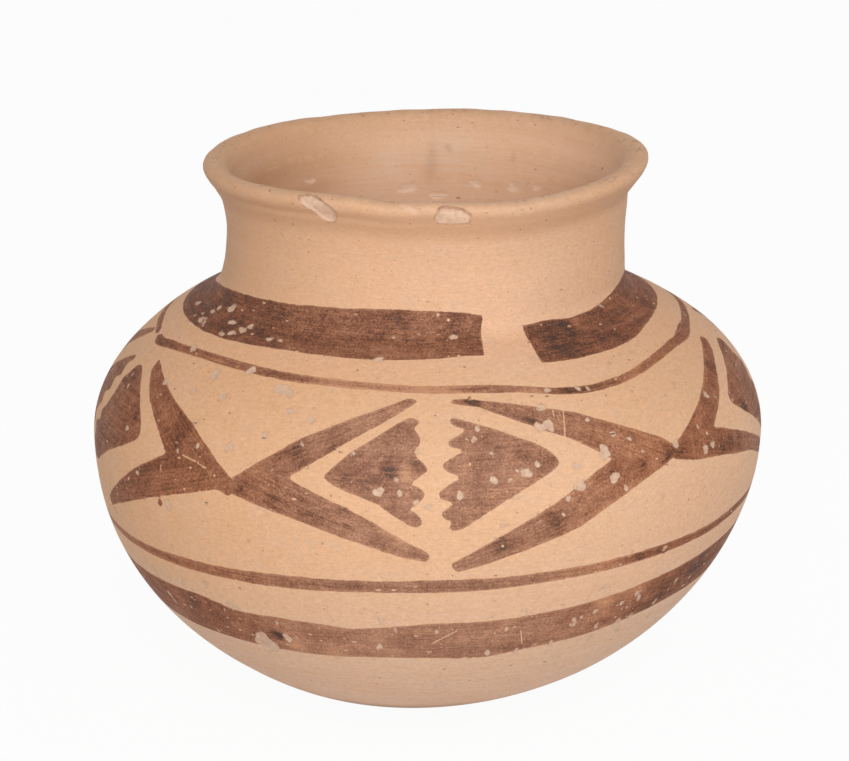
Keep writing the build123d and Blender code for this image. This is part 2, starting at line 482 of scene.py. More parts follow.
RIGHT_DART = [
    (45.2, 93.2), (50.9, 97.4), (57.7, 102.0), (65.5, 106.6), (69.3, 108.6), (77.6, 111.4), (79.1, 110.2),
    (76.0, 108.3), (70.3, 105.4), (64.6, 100.4), (57.0, 93.7), (59.1, 93.1), (67.3, 88.6), (72.5, 85.3),
    (80.0, 80.3), (83.0, 76.0), (81.7, 74.6), (70.6, 81.2), (56.4, 86.2), (50.0, 87.7), (44.4, 89.9),
]
RIGHT_SAW = [
    (84.8, 108.3), (80.9, 107.3), (76.2, 104.8), (70.8, 101.6), (67.2, 98.9), (66.9, 97.0), (69.4, 94.2),
    (80.4, 84.2), (83.8, 80.2), (85.8, 79.6), (86.5, 81.7), (84.3, 84.2), (87.5, 86.7), (84.6, 89.7),
    (88.2, 92.6), (85.2, 95.8), (88.6, 99.4), (86.5, 102.6), (87.0, 104.8), (87.4, 106.8),
]
# A dab that fell beside the left motif
PAINT_DAB = [(-48.2, 77.6), (-47.7, 76.2), (-48.2, 74.7), (-49.1, 75.2), (-49.1, 76.3)]

# Halves that repeat the front's, mostly out of sight, as (crossing, width towards the gap, lift),
# in degrees and millimetres
REPEATED_DARTS = [
    (-33.7, 34.5, 0.1), (-113.5, 34.5, 0.8), (-113.5, -28.0, 1.0), (128.5, -35.0, 1.5), (128.5, 29.0, 1.5),
    (188.0, -30.0, 1.2), (188.0, 30.0, 1.0),
]
REPEATED_SAWS = REPEATED_DARTS[2:]

# Edges of the bands and middles of the lines, as (angle, height) round the jar, and widths of the lines
SHOULDER_TOP = [
    (-180, 125.5), (-130, 123.0), (-99, 122.4), (-80, 125.3), (-64, 127.2), (-52, 128.0), (-36, 128.9),
    (-22, 129.6), (-10, 130.2), (3, 129.7), (9, 129.3), (16, 128.1), (27, 124.4), (35, 124.6), (43, 124.0),
    (51, 124.3), (58, 125.1), (68, 126.7), (80, 128.4), (100, 128.6), (140, 127.0),
]
SHOULDER_LOW = [
    (-180, 118.6), (-130, 118.2), (-84, 117.4), (-70, 117.4), (-60, 117.5), (-47, 117.9), (-35, 118.4),
    (-12, 118.4), (3, 118.8), (13, 119.1), (26, 116.7), (42, 116.5), (55, 117.1), (66, 118.3), (84, 119.0),
    (130, 118.9),
]
# Gap in the shoulder band, as (height, left angle, right angle) at its foot and at its head
SHOULDER_GAP = ((118.0, 13.6, 26.4), (128.0, 16.6, 28.1))
UPPER_LINE = [
    (-180, 113.6), (-120, 113.9), (-86, 112.9), (-77, 111.9), (-73, 111.6), (-68, 112.4), (-60, 113.3),
    (-52, 113.8), (-40, 113.8), (-30, 113.5), (-15, 113.3), (0, 112.8), (10, 112.7), (19, 112.0),
    (26, 110.8), (33, 110.3), (39, 110.6), (45, 111.2), (53, 112.4), (63, 113.4), (70, 113.6), (76, 114.1),
    (90, 114.8), (130, 113.8),
]
UPPER_WIDTH = [
    (-180, 2.8), (-80, 2.6), (-77.5, 0.2), (-75.5, 3.0), (-71, 3.4), (-64, 3.0), (-40, 3.1), (0, 2.7),
    (12, 2.9), (20, 2.5), (34, 2.5), (45, 2.7), (60, 2.7), (67, 3.1), (74, 4.2), (81, 2.9), (130, 2.8),
]
LOWER_LINE = [
    (-180, 62.5), (-120, 59.6), (-68, 58.4), (-58, 58.5), (-50, 58.9), (-42, 59.4), (-32, 60.0),
    (-20, 60.8), (-10, 61.4), (0, 61.9), (10, 62.1), (20, 62.7), (30, 63.2), (43, 63.9), (57, 64.6),
    (68, 65.8), (110, 65.8), (150, 64.4),
]
LOWER_WIDTH = [
    (-180, 3.2), (-90, 2.5), (-68, 2.5), (-50, 3.3), (-36, 3.8), (-22, 4.3), (-8, 3.8), (4, 4.2), (16, 3.6),
    (40, 3.2), (60, 2.8), (120, 3.2),
]
BASE_TOP = [
    (-180, 53.0), (-120, 48.5), (-69, 48.4), (-50, 48.9), (-44, 49.2), (-40, 48.7), (-34, 47.3),
    (-26, 47.8), (-18, 47.5), (-12, 46.9), (-5, 48.2), (2, 49.5), (11, 49.6), (24, 50.9), (33, 52.3),
    (40, 53.5), (48, 54.8), (66, 57.2), (100, 58.5), (140, 56.0),
]
BASE_LOW = [
    (-180, 41.0), (-120, 36.0), (-53, 34.7), (-43, 35.0), (-28, 35.1), (-15, 35.6), (-8, 36.3), (2, 36.3),
    (12, 35.8), (20, 37.5), (30, 38.8), (36, 39.9), (43, 41.6), (54, 43.4), (80, 44.4), (130, 43.5),
]

# How heavily the brush was loaded along the bands and lines, as (angle, load)
SHOULDER_LOAD = [
    (-180, 0.6), (-75, 0.76), (-50, 0.72), (-20, 0.58), (5, 0.6), (14, 0.66), (30, 0.66), (45, 0.7),
    (60, 0.66), (120, 0.6),
]
UPPER_LOAD = [
    (-180, 0.45), (-100, 0.5), (-70, 0.65), (-56, 0.48), (-40, 0.5), (-32, 0.55), (-24, 0.35), (-12, 0.15),
    (0, 0.14), (8, 0.34), (15, 0.42), (22, 0.28), (25, 0.6), (28, 0.85), (36, 0.62), (48, 0.36), (60, 0.48),
    (75, 0.55), (120, 0.5),
]
LOWER_LOAD = [
    (-180, 0.45), (-70, 0.3), (-50, 0.4), (0, 0.46), (14, 0.42), (27, 0.22), (37, 0.45), (70, 0.55),
    (120, 0.45),
]
BASE_LOAD = [
    (-180, 0.42), (-60, 0.5), (-38, 0.5), (-20, 0.34), (15, 0.36), (40, 0.46), (60, 0.6), (120, 0.46),
]

# Places where the paint is sooty, as (angle, height, radius in millimetres, strength)
SOOT = [
    (34, 119.5, 6.0, 0.45), (40, 121.5, 5.0, 0.3), (8.2, 110.3, 2.6, 0.75), (71.7, 93.1, 2.4, 0.9),
    (58.5, 87.6, 2.4, 0.6), (62, 88.3, 2.2, 0.45), (65.5, 88.4, 2.0, 0.35), (69, 106.4, 3.0, 0.6),
    (43.5, 91.2, 3.0, 0.6), (47.5, 90.9, 2.4, 0.5), (38, 63.2, 3.0, 0.35), (43, 63.8, 3.0, 0.4),
    (37.2, 90.5, 1.8, 0.6), (31.8, 91.2, 2.8, 0.35), (21, 79.5, 2.6, 0.4), (12, 74.2, 3.0, 0.5),
    (18, 105.3, 3.0, 0.35), (15.8, 97.7, 2.8, 0.35), (8.3, 94.5, 1.8, 0.3), (11.4, 99.7, 1.6, 0.3),
    (-30.8, 86.2, 2.2, 0.6), (-22, 97.8, 3.2, 0.45), (-16, 98.4, 3.2, 0.4), (-20.4, 94.6, 1.8, 0.3),
    (-13, 92.6, 1.6, 0.35), (-7.2, 95.5, 3.4, 0.34), (-5.9, 93.8, 2.8, 0.3), (-2.3, 95.9, 2.4, 0.34),
    (-10.3, 91.1, 3.4, 0.3), (-18.7, 80.2, 3.4, 0.35), (-12.9, 83.8, 1.4, 0.4), (-12.6, 79.6, 1.5, 0.4),
    (-24.7, 84, 2.6, 0.3), (-46.5, 94.8, 3.5, 0.3), (-60.3, 95.7, 1.4, 0.9), (-71, 103.2, 3.0, 0.35),
    (-55, 80.5, 4.0, 0.25), (-27.0, 40.7, 1.6, 1.4), (48, 48, 6.0, 0.4), (58, 51, 6.0, 0.5),
    (-46, 45, 4.0, 0.35), (-39, 42.5, 3.0, 0.35), (32, 100.5, 5.0, 0.12), (-5, 128, 4.0, 0.3),
    (8, 127, 5.0, 0.3), (5, 119.8, 4.0, 0.25),
]
# Places where the paint has worn thin, as (angle, height, radius in millimetres, lost load)
THIN_PATCHES = [
    (-13.5, 105.4, 2.0, 0.3), (-10.5, 107, 2.4, 0.22), (-6.6, 108.4, 2.0, 0.2), (-8.6, 94.4, 1.3, 0.5),
    (-3.6, 94, 2.6, 0.6), (-7, 78.5, 2.0, 0.3), (-4, 76.3, 2.2, 0.35), (-23.7, 95, 1.8, 0.2),
    (15.4, 92.6, 3.0, 0.2), (5.9, 94.7, 1.8, 0.25), (34.2, 84.5, 1.6, 0.25), (28.5, 79.5, 5.0, 0.1),
    (29.4, 80.1, 1.8, 0.2), (26.5, 89.1, 1.5, 0.25), (2, 112.7, 8.0, 0.15), (-18, 113.3, 5.0, 0.15),
    (-24, 38, 3.6, 0.4), (-16, 37.5, 4.0, 0.35), (27, 41, 8.0, 0.12), (33, 50.5, 5.0, 0.32),
    (40, 51.8, 4.0, 0.3), (45, 122.5, 3.0, 0.2), (-48, 113.5, 5.0, 0.1),
]

OUT_OF_PAINT = -30.0        # depth inside a shape, in millimetres, where there is none near
INNER_R = 53.0              # inside of the neck, in millimetres
COMMON_LOAD = 0.45          # load of the brush where no shape gives its own
BAND_STREAKS = 0.75         # how plainly the brush's hairs show
LINE_STREAKS = 0.9
SHAPE_STREAKS = 0.4         # in the middle of a motif half, and as much more along its arms
SHAPE_MARGIN = 4.0          # how far outside an outline its paint is worked out, in millimetres
STROKE_SHIFT = 7.3          # sets the brush marks of one shape apart from the next one's
LOWER_ARM = -0.65           # slope of a motif's lower arm, as a share of the upper one's


def brushed(outline):
    """Rounds off the corners of a closed outline as a brush does."""
    before = np.roll(outline, 1, axis=0)
    after = np.roll(outline, -1, axis=0)
    softened = []
    for last, corner, following in zip(before, outline, after):
        ends = []
        for other in (last, following):
            length = np.hypot(*(other - corner))
            ends.append(corner + (other - corner) * min(BRUSH_ROUNDING, CORNER_SHARE * length) / length)
        softened += [ends[0], (ends[0] + 2 * corner + ends[1]) / 4, ends[1]]
    return np.array(softened)


def depth_inside(across, up, outline):
    """Distance inside a closed outline, negative outside it."""
    nearest = np.full(across.shape, np.inf)
    inside = np.zeros(across.shape, bool)
    for (x0, y0), (x1, y1) in zip(outline, np.roll(outline, -1, axis=0)):
        run, rise = x1 - x0, y1 - y0
        off_x, off_y = across - x0, up - y0
        share = np.clip((off_x * run + off_y * rise) / (run * run + rise * rise), 0.0, 1.0)
        nearest = np.minimum(nearest, (off_x - run * share) ** 2 + (off_y - rise * share) ** 2)
        if rise != 0:
            crossed = (up >= min(y0, y1)) & (up < max(y0, y1))
            inside ^= crossed & (across < x0 + off_y * run / rise)
    return np.where(inside, 1.0, -1.0) * np.sqrt(nearest)


def half_outline(outline, crossing, width, lift):
    """A motif's half laid out from its crossing, as (angle, height)."""
    return [(crossing + width * share, height + lift) for share, height in outline]


# Every motif half as (outline, load of the brush, slope of its upper arm in degrees)
ARM_SLOPE = 28.0
REPEATED_LOAD = 0.42
motifs = [(FRONT_LEFT_SAW, 0.45, 0.0), (FRONT_RIGHT_DART, 0.4, -ARM_SLOPE), (FRONT_RIGHT_SAW, 0.4, 0.0),
          (LEFT_DART, 0.56, -ARM_SLOPE), (LEFT_SAW, 0.54, 0.0), (FAR_LEFT_SAW, 0.5, 0.0),
          (RIGHT_DART, 0.5, ARM_SLOPE), (RIGHT_SAW, 0.5, 0.0), (PAINT_DAB, 0.6, 0.0)]
for half in REPEATED_DARTS:
    motifs.append((half_outline(DART, *half), REPEATED_LOAD, math.copysign(ARM_SLOPE, half[1])))
for half in REPEATED_SAWS:
    motifs.append((half_outline(SAW, *half), REPEATED_LOAD, 0.0))


class PaintedWall:
    """Paint on the outside of the wall: depth inside a shape, brushing direction, streaks and load."""

    def __init__(self, angle, up):
        self.angle = angle
        self.up = up
        self.round = np.radians(angle) * PAINT_R
        self.depth = np.full(angle.shape, OUT_OF_PAINT)
        self.stroke = np.zeros(angle.shape + (3,))
        self.streaks = np.zeros(angle.shape)
        self.load = np.full(angle.shape, COMMON_LOAD)
        self.soot = np.zeros(angle.shape)
        self.shapes = 0

    def read(self, *curves):
        """Values of curves round the jar at each point."""
        return [round_the_jar(points, self.angle) for points in curves]

    def round_from(self, middle):
        """Distance of each point round the wall from an angle, in millimetres."""
        return np.radians(turned(self.angle - middle)) * PAINT_R

    def lay(self, depth, along, across, load, streaks, where=slice(None)):
        """Adds one painted shape: it shows wherever it reaches deeper than those before."""
        self.shapes += 1
        shown = depth > self.depth[where]
        self.depth[where] = np.where(shown, depth, self.depth[where])
        self.load[where] = np.where(shown, load, self.load[where])
        self.streaks[where] = np.where(shown, streaks, self.streaks[where])
        stroke = np.stack((along, across, np.full(along.shape, STROKE_SHIFT * self.shapes)), axis=-1)
        self.stroke[where] = np.where(shown[..., None], stroke, self.stroke[where])

    def band(self, low_edge, top_edge, loads, gap=None):
        """A band between two edges round the jar, broken by a gap where one is given."""
        low, top, load = self.read(low_edge, top_edge, loads)
        depth = np.minimum(self.up - along_at(low), along_at(top) - self.up)
        if gap:
            (foot, foot_left, foot_right), (head, head_left, head_right) = gap
            climb = (self.up - along_at(foot)) / (along_at(head) - along_at(foot))
            left = foot_left + (head_left - foot_left) * climb
            right = foot_right + (head_right - foot_right) * climb
            past = np.abs(turned(self.angle - (left + right) / 2)) - (right - left) / 2
            depth = np.minimum(depth, np.radians(past) * FOOT_R / MM)
        self.lay(depth, self.round, self.up, load, BAND_STREAKS)

    def line(self, heights, widths, loads):
        """A line of varying width round the jar."""
        height, width, load = self.read(heights, widths, loads)
        depth = width / 2 - np.abs(self.up - along_at(height))
        self.lay(depth, self.round, self.up, load, LINE_STREAKS)

    def shape(self, outline, load, slope):
        """A closed outline of (angle, height) points, brushed along two arms when they have a slope."""
        angles, heights = np.array(outline, float).T
        middle = angles.mean()
        flat = brushed(np.column_stack((np.radians(angles - middle) * PAINT_R, along_at(heights))))
        across = self.round_from(middle)
        low = flat.min(axis=0) - SHAPE_MARGIN
        high = flat.max(axis=0) + SHAPE_MARGIN
        near = (across > low[0]) & (across < high[0]) & (self.up > low[1]) & (self.up < high[1])
        if not near.any():
            return
        depth = depth_inside(across[near], self.up[near], flat)
        rise = self.up[near] - (low[1] + high[1]) / 2
        turn = np.where(rise > 0, 1.0, LOWER_ARM) * math.radians(slope)
        along_arm = across[near] * np.cos(turn) + rise * np.sin(turn)
        across_arm = rise * np.cos(turn) - across[near] * np.sin(turn)
        streaks = SHAPE_STREAKS + SHAPE_STREAKS * smoothstep(np.abs(rise), 0.5, 4.0)
        self.lay(depth, along_arm, across_arm, load, streaks, near)

    def patch(self, at_angle, at_height, radius):
        """A soft round patch: one in its middle, and nothing well outside its radius."""
        distance = np.hypot(self.round_from(at_angle), self.up - along_at(at_height))
        return bell(distance, radius)


def paint_design(angle, up):
    """The whole painted design on points at an angle in degrees and a distance up the wall in millimetres."""
    wall = PaintedWall(angle, up)
    wall.band(SHOULDER_LOW, SHOULDER_TOP, SHOULDER_LOAD, SHOULDER_GAP)
    wall.line(UPPER_LINE, UPPER_WIDTH, UPPER_LOAD)
    wall.line(LOWER_LINE, LOWER_WIDTH, LOWER_LOAD)
    wall.band(BASE_LOW, BASE_TOP, BASE_LOAD)
    for motif in motifs:
        wall.shape(*motif)
    for *spot, strength in SOOT:
        wall.soot += strength * wall.patch(*spot)
    for *spot, lost in THIN_PATCHES:
        wall.load -= lost * wall.patch(*spot)
    return wall


# Damage

# Flakes and pop-outs on the outside, as (angle, height, radius in millimetres)
FLAKES = [
    (-72.4, 118.6, 0.6), (-70.5, 119.6, 0.6), (-66.5, 119.3, 0.6), (-64, 118.2, 0.5), (-80, 119.8, 1.2),
    (-68, 120.7, 0.9), (-67.4, 121.8, 0.9), (-61.5, 122.9, 1.4), (-56, 120.7, 1.1), (-50, 120.1, 1.2),
    (-48.8, 121.1, 1.0), (-52.2, 119.1, 1.1), (-54.7, 118.3, 0.9), (-67.8, 118.7, 1.2), (-65.2, 118.6, 0.8),
    (-40, 119.8, 0.9), (-36.8, 120, 0.7), (-46.3, 76.3, 1.3), (-10.5, 118.5, 1.1), (8.2, 122.9, 0.9),
    (-58.5, 114, 1.4), (-46.5, 110.8, 1.8), (-38.5, 113.4, 1.6), (-29.5, 110.8, 2.2), (-27.5, 110.2, 1.3),
    (-49, 106.3, 1.1), (-41.5, 106.9, 1.3), (-26, 106.5, 1.1), (-21.5, 105.3, 1.2), (-29, 100.4, 1.0),
    (-35, 96.1, 1.3), (-58, 105.7, 1.1), (-69.5, 100.5, 0.8), (-71.3, 103.0, 0.8), (-61.5, 92, 0.9),
    (-45.5, 92.1, 0.7), (-41.5, 94.6, 0.8), (-44, 100, 0.8), (-55, 81.9, 0.9), (-21.7, 99.6, 0.7),
    (-12.7, 98.3, 0.8), (-7.8, 89.3, 1.5), (-5.1, 92.5, 0.8), (-4.4, 89.1, 0.9), (-1.8, 86.8, 0.9),
    (-2, 99.3, 0.7), (0.2, 85.5, 1.0), (8.5, 104.3, 0.9), (7.8, 102, 1.0), (10.5, 98.6, 0.7),
    (10.6, 92, 1.2), (5.1, 88.4, 1.2), (13.2, 91.7, 0.7), (16.1, 93.2, 1.5), (18.1, 95.1, 0.9),
    (14.6, 94.1, 0.7), (21.2, 107.9, 1.3), (19.8, 103.8, 1.5), (21.6, 103.9, 1.7), (29.3, 103.9, 0.8),
    (33.2, 99.7, 0.9), (36.2, 97.8, 0.8), (30.6, 95.9, 1.9), (31.6, 88.9, 1.6), (25.1, 88.3, 1.7),
    (33.6, 85.5, 0.9), (22.9, 85.3, 0.9), (18, 80, 0.7), (22, 81, 0.7), (38.2, 94, 0.7), (46, 93.4, 1.2),
    (24, 111.3, 1.0), (30.5, 110.8, 0.9), (32.6, 110.4, 0.8), (43.8, 63.8, 0.9), (25, 93.5, 1.2),
    (60, 101.6, 1.2), (53.2, 89.4, 1.4), (55.6, 89.8, 1.2), (62.5, 99.9, 0.7), (53, 95.7, 0.7),
    (-31.5, 36.6, 2.6), (-29.5, 35.8, 1.8), (-25.2, 40.2, 1.2), (-35.5, 48.3, 0.9), (-7.6, 40.5, 0.9),
    (32, 47.7, 0.8), (34, 41.6, 0.8), (39.2, 41.8, 0.7), (42.2, 41.7, 0.8), (27.9, 46.1, 0.7),
    (25.1, 38.4, 0.7), (18.2, 37.3, 0.7), (37.7, 48.3, 0.7), (41.8, 48.2, 0.8),
]
# Pale pressed marks on the inside of the neck, wider than they are high, as (angle, height, half height)
INNER_MARKS = [
    (-174, 139.4, 1.3), (176, 137.2, 1.1), (163, 141.2, 1.0), (149, 141.0, 1.2), (139.5, 142.1, 0.9),
    (-137.5, 145.2, 1.0), (120, 138, 1.0), (-120, 137, 1.0), (20, 141, 1.0), (-40, 139, 1.1),
]
# How much wider marks are inside and flakes are on the shoulder, and how much taller flakes are low down
INNER_STRETCH = 2.4
SHOULDER_STRETCH = 0.45
SHOULDER_FROM = 113.0       # heights between which that sets in
SHOULDER_TO = 118.0
LOW_STRETCH = 0.8
LOW_FROM = 60.0             # and for the ones low down
LOW_TO = 48.0
CUT_DEPTH = 0.3             # of a flake or a mark, in millimetres
# Lobes of a flake's ragged edge, as (number, size as a share of its radius, turn from flake to flake)
RAGGED_EDGE = [(2, 0.17, 1.7), (3, 0.12, 4.1), (5, 0.1, 2.3)]
# Drip and finger marks inside the neck, as (angle, height, half width, half height, strength), in millimetres
INNER_STAINS = [
    (178, 149, 1.8, 6.0, 0.2), (179, 144, 3.0, 3.5, 0.12), (173, 152, 1.0, 0.9, 0.35),
    (172, 151, 0.8, 0.7, 0.2), (-140, 143, 9.0, 2.0, 0.2), (150, 150, 0.8, 1.4, 0.25),
    (30, 148, 6.0, 2.0, 0.15),
]
# How plainly bare clay shows, as a share
FLAKE_ON_PAINT = 0.9
FLAKE_ON_CLAY = 0.65
MARK_INSIDE = 0.45
# Flakes that no one placed, as (count, lowest, highest, smallest radius, largest radius, reach), where
# the reach is how many degrees round from the back they are found
SCATTERED_FLAKES = [
    (170, 32, 127, 0.3, 0.8, 180), (220, 35, 54, 0.28, 0.9, 180), (60, 62, 124, 0.7, 2.0, 90),
]
RARITY = 4                  # the higher, the fewer of them are large
SEED = 11

# How far from each kind of damage it is worked out, in millimetres, or past a scratch's ends as a share of it
FLAKE_REACH = 3.0
SCRATCH_REACH = 4.0
SCRATCH_OVERRUN = 0.5
FAR_FROM_SCRATCH = 50.0     # stands for no scratch near
CHIP_REACH_ROUND = 12.0
CHIP_REACH_UP = 10.0
CHIP_MARGIN = -2.0          # depth inside a chip's outline from which its own clay shows
# Depth inside an outline between which a cut goes down, in millimetres
CUT_FROM = -0.1
FLAKE_CUT_TO = 0.7
CHIP_CUT_TO = 0.6

# Scratches through the paint, as start and end (angle, height, angle, height)
SCRATCHES = [
    (-44.2, 91.4, -40.7, 90.7), (-40.2, 90.5, -38.3, 89.6), (-48.7, 87.1, -48.3, 85.2),
    (25.2, 106.8, 23.8, 100.2), (23.2, 107.1, 23.0, 105.6), (1.8, 42.0, 6.3, 47.0),
    (17.7, 45.3, 18.9, 39.5),
]

# Chips in the lip: outlines as (angle, millimetres along the wall past the crest, negative outside), then
# how deep each one is cut at its top and at its foot, and how plainly its bare clay shows
LEFT_CHIP = [
    (-33.6, -2.6), (-31.7, -1.6), (-29.5, -1.4), (-27.0, -3.1), (-24.4, -4.8), (-23.2, -6.4), (-23.5, -8.8),
    (-24.8, -10.7), (-26.6, -10.7), (-28.3, -9.5), (-29.9, -7.3), (-31.6, -5.8), (-32.9, -4.3),
]
RIGHT_CHIP = [
    (2.1, -6.2), (3.1, -3.2), (4.2, -2.2), (6.8, -2.2), (9.1, -3.0), (10.9, -4.8), (11.3, -6.2),
    (10.8, -7.8), (6.9, -8.1), (3.4, -8.2), (2.4, -7.5),
]
WORN_SPOT = [
    (-7.3, -1.8), (-6.1, -0.8), (-4.2, -1.8), (-2.0, -3.6), (-1.6, -4.6), (-2.9, -5.3), (-4.3, -4.2),
    (-6.4, -3.0),
]
SMALL_CHIP = [(53.5, -0.6), (57.0, -0.4), (59.0, -1.5), (55.0, -2.3)]
RIM_CHIPS = [(LEFT_CHIP, 1.1, 0.5, 0.85), (RIGHT_CHIP, 1.6, 0.2, 0.85), (WORN_SPOT, 0.15, 0.1, 0.2),
             (SMALL_CHIP, 0.3, 0.2, 0.5)]


chance = np.random.default_rng(SEED)


def scatter(count, low, high, smallest, largest, reach):
    """Flakes between two heights and as far round from the back as they reach, most of them small."""
    return np.column_stack((
        180 + chance.uniform(-reach, reach, count),
        chance.uniform(low, high, count),
        smallest + (largest - smallest) * chance.random(count) ** RARITY,
    ))


outer_flakes = np.vstack([FLAKES] + [scatter(*batch) for batch in SCATTERED_FLAKES])


def flake_depth(angle, up, flakes, flake_up, wide, tall):
    """Distance inside the nearest flake's ragged edge, negative outside it, in millimetres."""
    depth = np.full(angle.shape, OUT_OF_PAINT)
    flake_r = np.interp(flake_up, wall_along, wall_curve[:, 0]) / MM
    for number, ((at_angle, _, radius), at_up) in enumerate(zip(flakes, flake_up)):
        across = np.radians(turned(angle - at_angle)) * flake_r[number] / wide[number]
        rise = (up - at_up) / tall[number]
        near = (np.abs(across) < radius + FLAKE_REACH) & (np.abs(rise) < radius + FLAKE_REACH)
        if not near.any():
            continue
        bearing = np.arctan2(rise[near], across[near])
        ragged = np.ones(bearing.shape)
        for lobes, size, turn in RAGGED_EDGE:
            ragged += size * np.sin(lobes * bearing + turn * number)
        depth[near] = np.maximum(depth[near], radius * ragged - np.hypot(across[near], rise[near]))
    return depth


def bare_clay(angle, up, outside):
    """Distance inside the nearest flake outside or pressed mark inside, negative away from it."""
    heights = outer_flakes[:, 1]
    wide = 1 + SHOULDER_STRETCH * smoothstep(heights, SHOULDER_FROM, SHOULDER_TO)
    tall = 1 + LOW_STRETCH * smoothstep(heights, LOW_FROM, LOW_TO)
    marks = np.array(INNER_MARKS)
    marks_up = along_inside_at(marks[:, 1])
    even = np.ones(len(marks))
    inside = ~outside
    bare = np.empty(angle.shape)
    bare[outside] = flake_depth(angle[outside], up[outside], outer_flakes, along_at(heights), wide, tall)
    bare[inside] = flake_depth(angle[inside], up[inside], marks, marks_up, INNER_STRETCH * even, even)
    return bare


def stains_inside(angle, up):
    """Strength of the drip and finger marks at points inside the neck."""
    stains = np.zeros(angle.shape)
    for at_angle, height, half_width, half_height, strength in INNER_STAINS:
        across = np.radians(turned(angle - at_angle)) * INNER_R / half_width
        rise = (up - along_inside_at(height)) / half_height
        stains += strength * np.exp(-across ** 2 - rise ** 2)
    return stains


def scratch_frame(angle, up):
    """Place beside the nearest scratch: distance across it, and share along it."""
    beside = np.full((len(angle), 3), FAR_FROM_SCRATCH)
    for start_angle, start_height, end_angle, end_height in SCRATCHES:
        start = np.array((0.0, along_at(start_height)))
        end = np.array((math.radians(end_angle - start_angle) * PAINT_R, along_at(end_height)))
        length = np.hypot(*(end - start))
        run, rise = (end - start) / length
        off_x = np.radians(turned(angle - start_angle)) * PAINT_R
        off_y = up - start[1]
        along = (off_x * run + off_y * rise) / length
        across = off_y * run - off_x * rise
        near = (np.abs(across) < SCRATCH_REACH) & (along > -SCRATCH_OVERRUN) & (along < 1 + SCRATCH_OVERRUN)
        closer = near & (np.abs(across) < np.abs(beside[:, 0]))
        beside[closer, 0] = across[closer]
        beside[closer, 1] = along[closer]
    return beside


def chip_rim(angle, past_crest):
    """How deep the chips cut into the lip, the distance inside the nearest outline, and how it shows."""
    cut = np.zeros(angle.shape)
    inside = np.full(angle.shape, OUT_OF_PAINT)
    shown = np.full(angle.shape, FLAKE_ON_CLAY)
    for outline, top_cut, foot_cut, own_shown in RIM_CHIPS:
        angles, pasts = np.array(outline, float).T
        middle = angles.mean()
        flat = np.column_stack((np.radians(angles - middle) * RIM_R / MM, pasts))
        across = np.radians(turned(angle - middle)) * RIM_R / MM
        near = (np.abs(across) < CHIP_REACH_ROUND) & (np.abs(past_crest - pasts.mean()) < CHIP_REACH_UP)
        depth = np.full(angle.shape, OUT_OF_PAINT)
        depth[near] = depth_inside(across[near], past_crest[near], flat)
        down = smoothstep(-past_crest, -pasts.max(), -pasts.min())
        own_cut = (top_cut + (foot_cut - top_cut) * down) * smoothstep(depth, CUT_FROM, CHIP_CUT_TO)
        cut = np.maximum(cut, own_cut)
        inside = np.maximum(inside, depth)
        shown[depth > CHIP_MARGIN] = own_shown
    return cut, inside, shown


def fill_inside(outside, values, otherwise):
    """Values of the outer points, with another value at every inner point."""
    filled = np.full((len(outside),) + values.shape[1:], otherwise)
    filled[outside] = values
    return filled


def paint_and_wear(angle, up, outside, is_rim):
    """What the material reads at each point of a ring, by name, and how deep wear cuts into the point."""
    inside = ~outside
    past_crest = up - wall_along[crest_index]
    wall = paint_design(angle[outside], up[outside])
    scratches = scratch_frame(angle[outside], up[outside])
    depth = fill_inside(outside, wall.depth, OUT_OF_PAINT)
    soot = fill_inside(outside, wall.soot, 0.0)
    soot[inside] = stains_inside(angle[inside], up[inside])
    bare = bare_clay(angle, up, outside)
    cut = smoothstep(bare, CUT_FROM, FLAKE_CUT_TO) * CUT_DEPTH
    shown = np.where(depth > 0, FLAKE_ON_PAINT, FLAKE_ON_CLAY)
    shown[inside] = MARK_INSIDE
    if is_rim:
        chip_cut, chip_depth, chip_shown = chip_rim(angle, past_crest)
        cut = np.maximum(cut, chip_cut)
        bare = np.maximum(bare, chip_depth)
        shown = np.where(chip_depth > CHIP_MARGIN, chip_shown, shown)
    layers = {
        "paint_depth": depth,
        "paint_load": fill_inside(outside, wall.load, COMMON_LOAD),
        "paint_soot": soot,
        "paint_streaks": fill_inside(outside, wall.streaks, 0.0),
        "brush_stroke": fill_inside(outside, wall.stroke, 0.0),
        "scratch_frame": fill_inside(outside, scratches, FAR_FROM_SCRATCH),
        "bare_depth": bare,
        "bare_shown": shown,
        "lip_distance": past_crest,
    }
    return layers, cut


def give_attribute(mesh, name, values):
    """Stores one value or vector per point for the material to read."""
    kind, key = ("FLOAT", "value") if values.ndim == 1 else ("FLOAT_VECTOR", "vector")
    layer = mesh.attributes.new(name, kind, "POINT")
    layer.data.foreach_set(key, np.ascontiguousarray(values, np.float32).ravel())


def nearest_of(points, curve):
    """For each point, the index of the nearest point of a curve."""
    return np.argmin(np.sum((points[:, None, :] - curve[None, :, :]) ** 2, axis=2), axis=1)


def nearest_stations(places, section):
    """For each turned point, the nearest station of the whole wall curve."""
    own = np.column_stack((np.hypot(places[:, 0], places[:, 1]), places[:, 2]))
    to_wall = nearest_of(section, wall_curve)
    station = np.empty(len(places), int)
    for start in range(0, len(places), POINTS_AT_ONCE):
        part = slice(start, start + POINTS_AT_ONCE)
        station[part] = to_wall[nearest_of(own[part], section)]
    return station


def read_places(mesh, vectors, key):
    """Vectors of a mesh as an array."""
    flat = np.empty(len(mesh.vertices) * 3)
    vectors.foreach_get(key, flat)
    return flat.reshape(-1, 3)


def move_points(mesh, places):
    """Puts a mesh's points at new places."""
    mesh.vertices.foreach_set("co", places.ravel())
    mesh.update()


